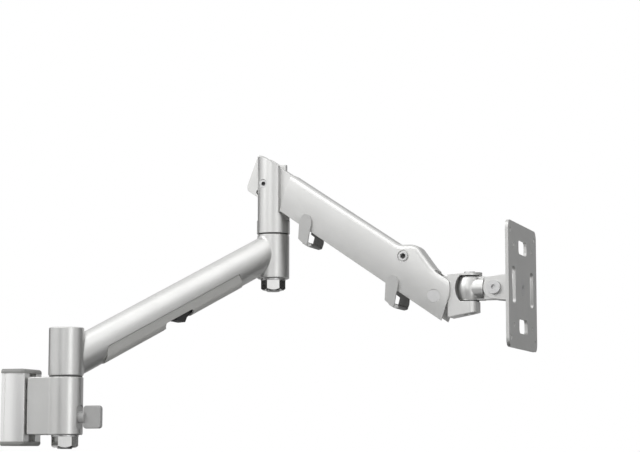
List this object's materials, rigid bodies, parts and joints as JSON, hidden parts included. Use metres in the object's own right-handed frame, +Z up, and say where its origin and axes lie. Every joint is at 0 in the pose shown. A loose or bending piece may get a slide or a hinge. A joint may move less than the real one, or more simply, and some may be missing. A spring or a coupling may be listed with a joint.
{
  "type": "monitor arm",
  "caption": "Wall monitor arm: slotted wall rail, swivelling lower arm with cable cover, lift arm with gas strut and levelling link, and a pan, tilt and turn head with a square screen plate.",
  "frame": {"origin": "wall plane at the centre of the wall rail, midway between its two screw holes", "axes": "+X out of the wall, +Z up, +Y along the wall to the side the lower arm is swung towards"},
  "size_m": [0.4372, 0.2749, 0.2925],
  "materials": {
    "silver_arm": "satin silver anodised",
    "rail_silver": "bright anodised extrusion",
    "grey_cap": "fine satin",
    "grey_cover": "fine satin",
    "clip_plastic": "fine satin",
    "paddle_plastic": "fine satin",
    "bright_steel": "bright plated",
    "plain_steel": "zinc plated",
    "black_nylon": "matt",
    "black_steel": "black oxide",
    "plate_steel": "satin silver paint"
  },
  "bodies": {
    "wall_mount": {"wall_channel": "rail_silver", "channel_cap_top": "grey_cap", "channel_cap_bottom": "grey_cap", "bracket_grub_screws": "plain_steel", "shoulder_bracket": "silver_arm", "shoulder_shaft": "plain_steel", "shoulder_thrust_washer": "black_nylon", "shoulder_washer": "plain_steel", "shoulder_nut": "bright_steel", "friction_pad": "black_nylon"},
    "thumbscrew": {"thumbscrew_paddle": "paddle_plastic", "thumbscrew_stud": "plain_steel"},
    "lower_arm": {"lower_arm": "silver_arm", "cable_cover": "grey_cover", "cable_catch": "black_nylon", "shoulder_cap": "grey_cap", "shoulder_bush_lower": "black_nylon", "shoulder_bush_upper": "black_nylon", "elbow_bush_lower": "black_nylon", "elbow_bush_upper": "black_nylon"},
    "elbow_knuckle": {"elbow_knuckle": "silver_arm", "elbow_shaft": "plain_steel", "elbow_thrust_washer": "black_nylon", "elbow_washer": "plain_steel", "elbow_nut": "bright_steel", "lift_pivot_pin": "plain_steel", "link_pin_rear": "plain_steel", "strut_pin_rear": "plain_steel"},
    "upper_arm": {"upper_arm_shell": "silver_arm", "lift_bushes": "black_nylon", "upper_arm_cover": "grey_cover", "cable_clip_rear": "clip_plastic", "cable_clip_front": "clip_plastic", "strut_anchor": "plain_steel", "anchor_screws": "plain_steel", "strut_pin_front": "plain_steel", "tip_pivot_pin": "plain_steel", "tip_pin_cap": "plain_steel"},
    "strut_cylinder": {"strut_cylinder": "black_steel"},
    "strut_rod": {"strut_rod": "plain_steel"},
    "level_link": {"level_link": "plain_steel"},
    "head_yoke": {"head_yoke": "silver_arm", "link_pin_front": "plain_steel", "tip_bushes": "black_nylon", "pan_bolt": "plain_steel", "pan_nut": "plain_steel", "pan_washers": "black_nylon"},
    "pan_knuckle": {"pan_knuckle": "silver_arm", "pan_bush": "black_nylon"},
    "tilt_clevis": {"tilt_clevis": "silver_arm", "tilt_washers": "black_nylon", "tilt_bolt": "plain_steel", "tilt_nut": "plain_steel"},
    "screen_plate": {"vesa_plate": "plate_steel", "rotation_bolt": "plain_steel", "rotation_nut": "plain_steel", "rotation_washer": "black_nylon"}
  },
  "joints": [
    {"name": "thumbscrew_turn", "type": "hinge", "parent": "wall_mount", "child": "thumbscrew", "pos_m": [0.072, 0, -0.009], "axis": [1, 0, 0], "range_deg": [0, 360]},
    {"name": "shoulder_swivel", "type": "hinge", "parent": "wall_mount", "child": "lower_arm", "pos_m": [0.056, 0, 0], "axis": [0, 0, 1], "range_deg": [-147, 33]},
    {"name": "elbow_swivel", "type": "hinge", "parent": "lower_arm", "child": "elbow_knuckle", "pos_m": [0.18399, 0.19709, 0.15], "axis": [0, 0, 1], "range_deg": [-33, 147]},
    {"name": "arm_lift", "type": "hinge", "parent": "elbow_knuckle", "child": "upper_arm", "pos_m": [0.17849, 0.19709, 0.2245], "axis": [0, -1, 0], "range_deg": [-2, 42]},
    {"name": "link_swing", "type": "hinge", "parent": "elbow_knuckle", "child": "level_link", "pos_m": [0.17849, 0.19709, 0.2375], "axis": [0, -1, 0], "range_deg": [-2, 42]},
    {"name": "strut_swing", "type": "hinge", "parent": "upper_arm", "child": "strut_cylinder", "pos_m": [0.30273, 0.19709, 0.14044], "axis": [0, -1, 0], "range_deg": [-0.04, 0.66]},
    {"name": "strut_stroke", "type": "slide", "parent": "strut_cylinder", "child": "strut_rod", "axis": [-0.859, 0, 0.512], "range_m": [-0.0004, 0.007]},
    {"name": "head_level", "type": "hinge", "parent": "upper_arm", "child": "head_yoke", "pos_m": [0.3532, 0.19709, 0.10798], "axis": [0, -1, 0], "range_deg": [-42, 2]},
    {"name": "head_pan", "type": "hinge", "parent": "head_yoke", "child": "pan_knuckle", "pos_m": [0.3852, 0.19709, 0.11488], "axis": [0, 0, 1], "range_deg": [-80, 80]},
    {"name": "head_tilt", "type": "hinge", "parent": "pan_knuckle", "child": "tilt_clevis", "pos_m": [0.4122, 0.19709, 0.11488], "axis": [0, -1, 0], "range_deg": [-45, 45]},
    {"name": "screen_turn", "type": "hinge", "parent": "tilt_clevis", "child": "screen_plate", "pos_m": [0.4372, 0.19709, 0.11488], "axis": [1, 0, 0], "continuous": true}
  ],
  "couplings": [
    {"joint": "link_swing", "follows": "arm_lift", "ratio": 1},
    {"joint": "head_level", "follows": "arm_lift", "ratio": -1},
    {"joint": "strut_swing", "follows": "arm_lift", "ratio": 0.0155},
    {"joint": "strut_stroke", "follows": "arm_lift", "m_per_rad": 0.0094}
  ]
}
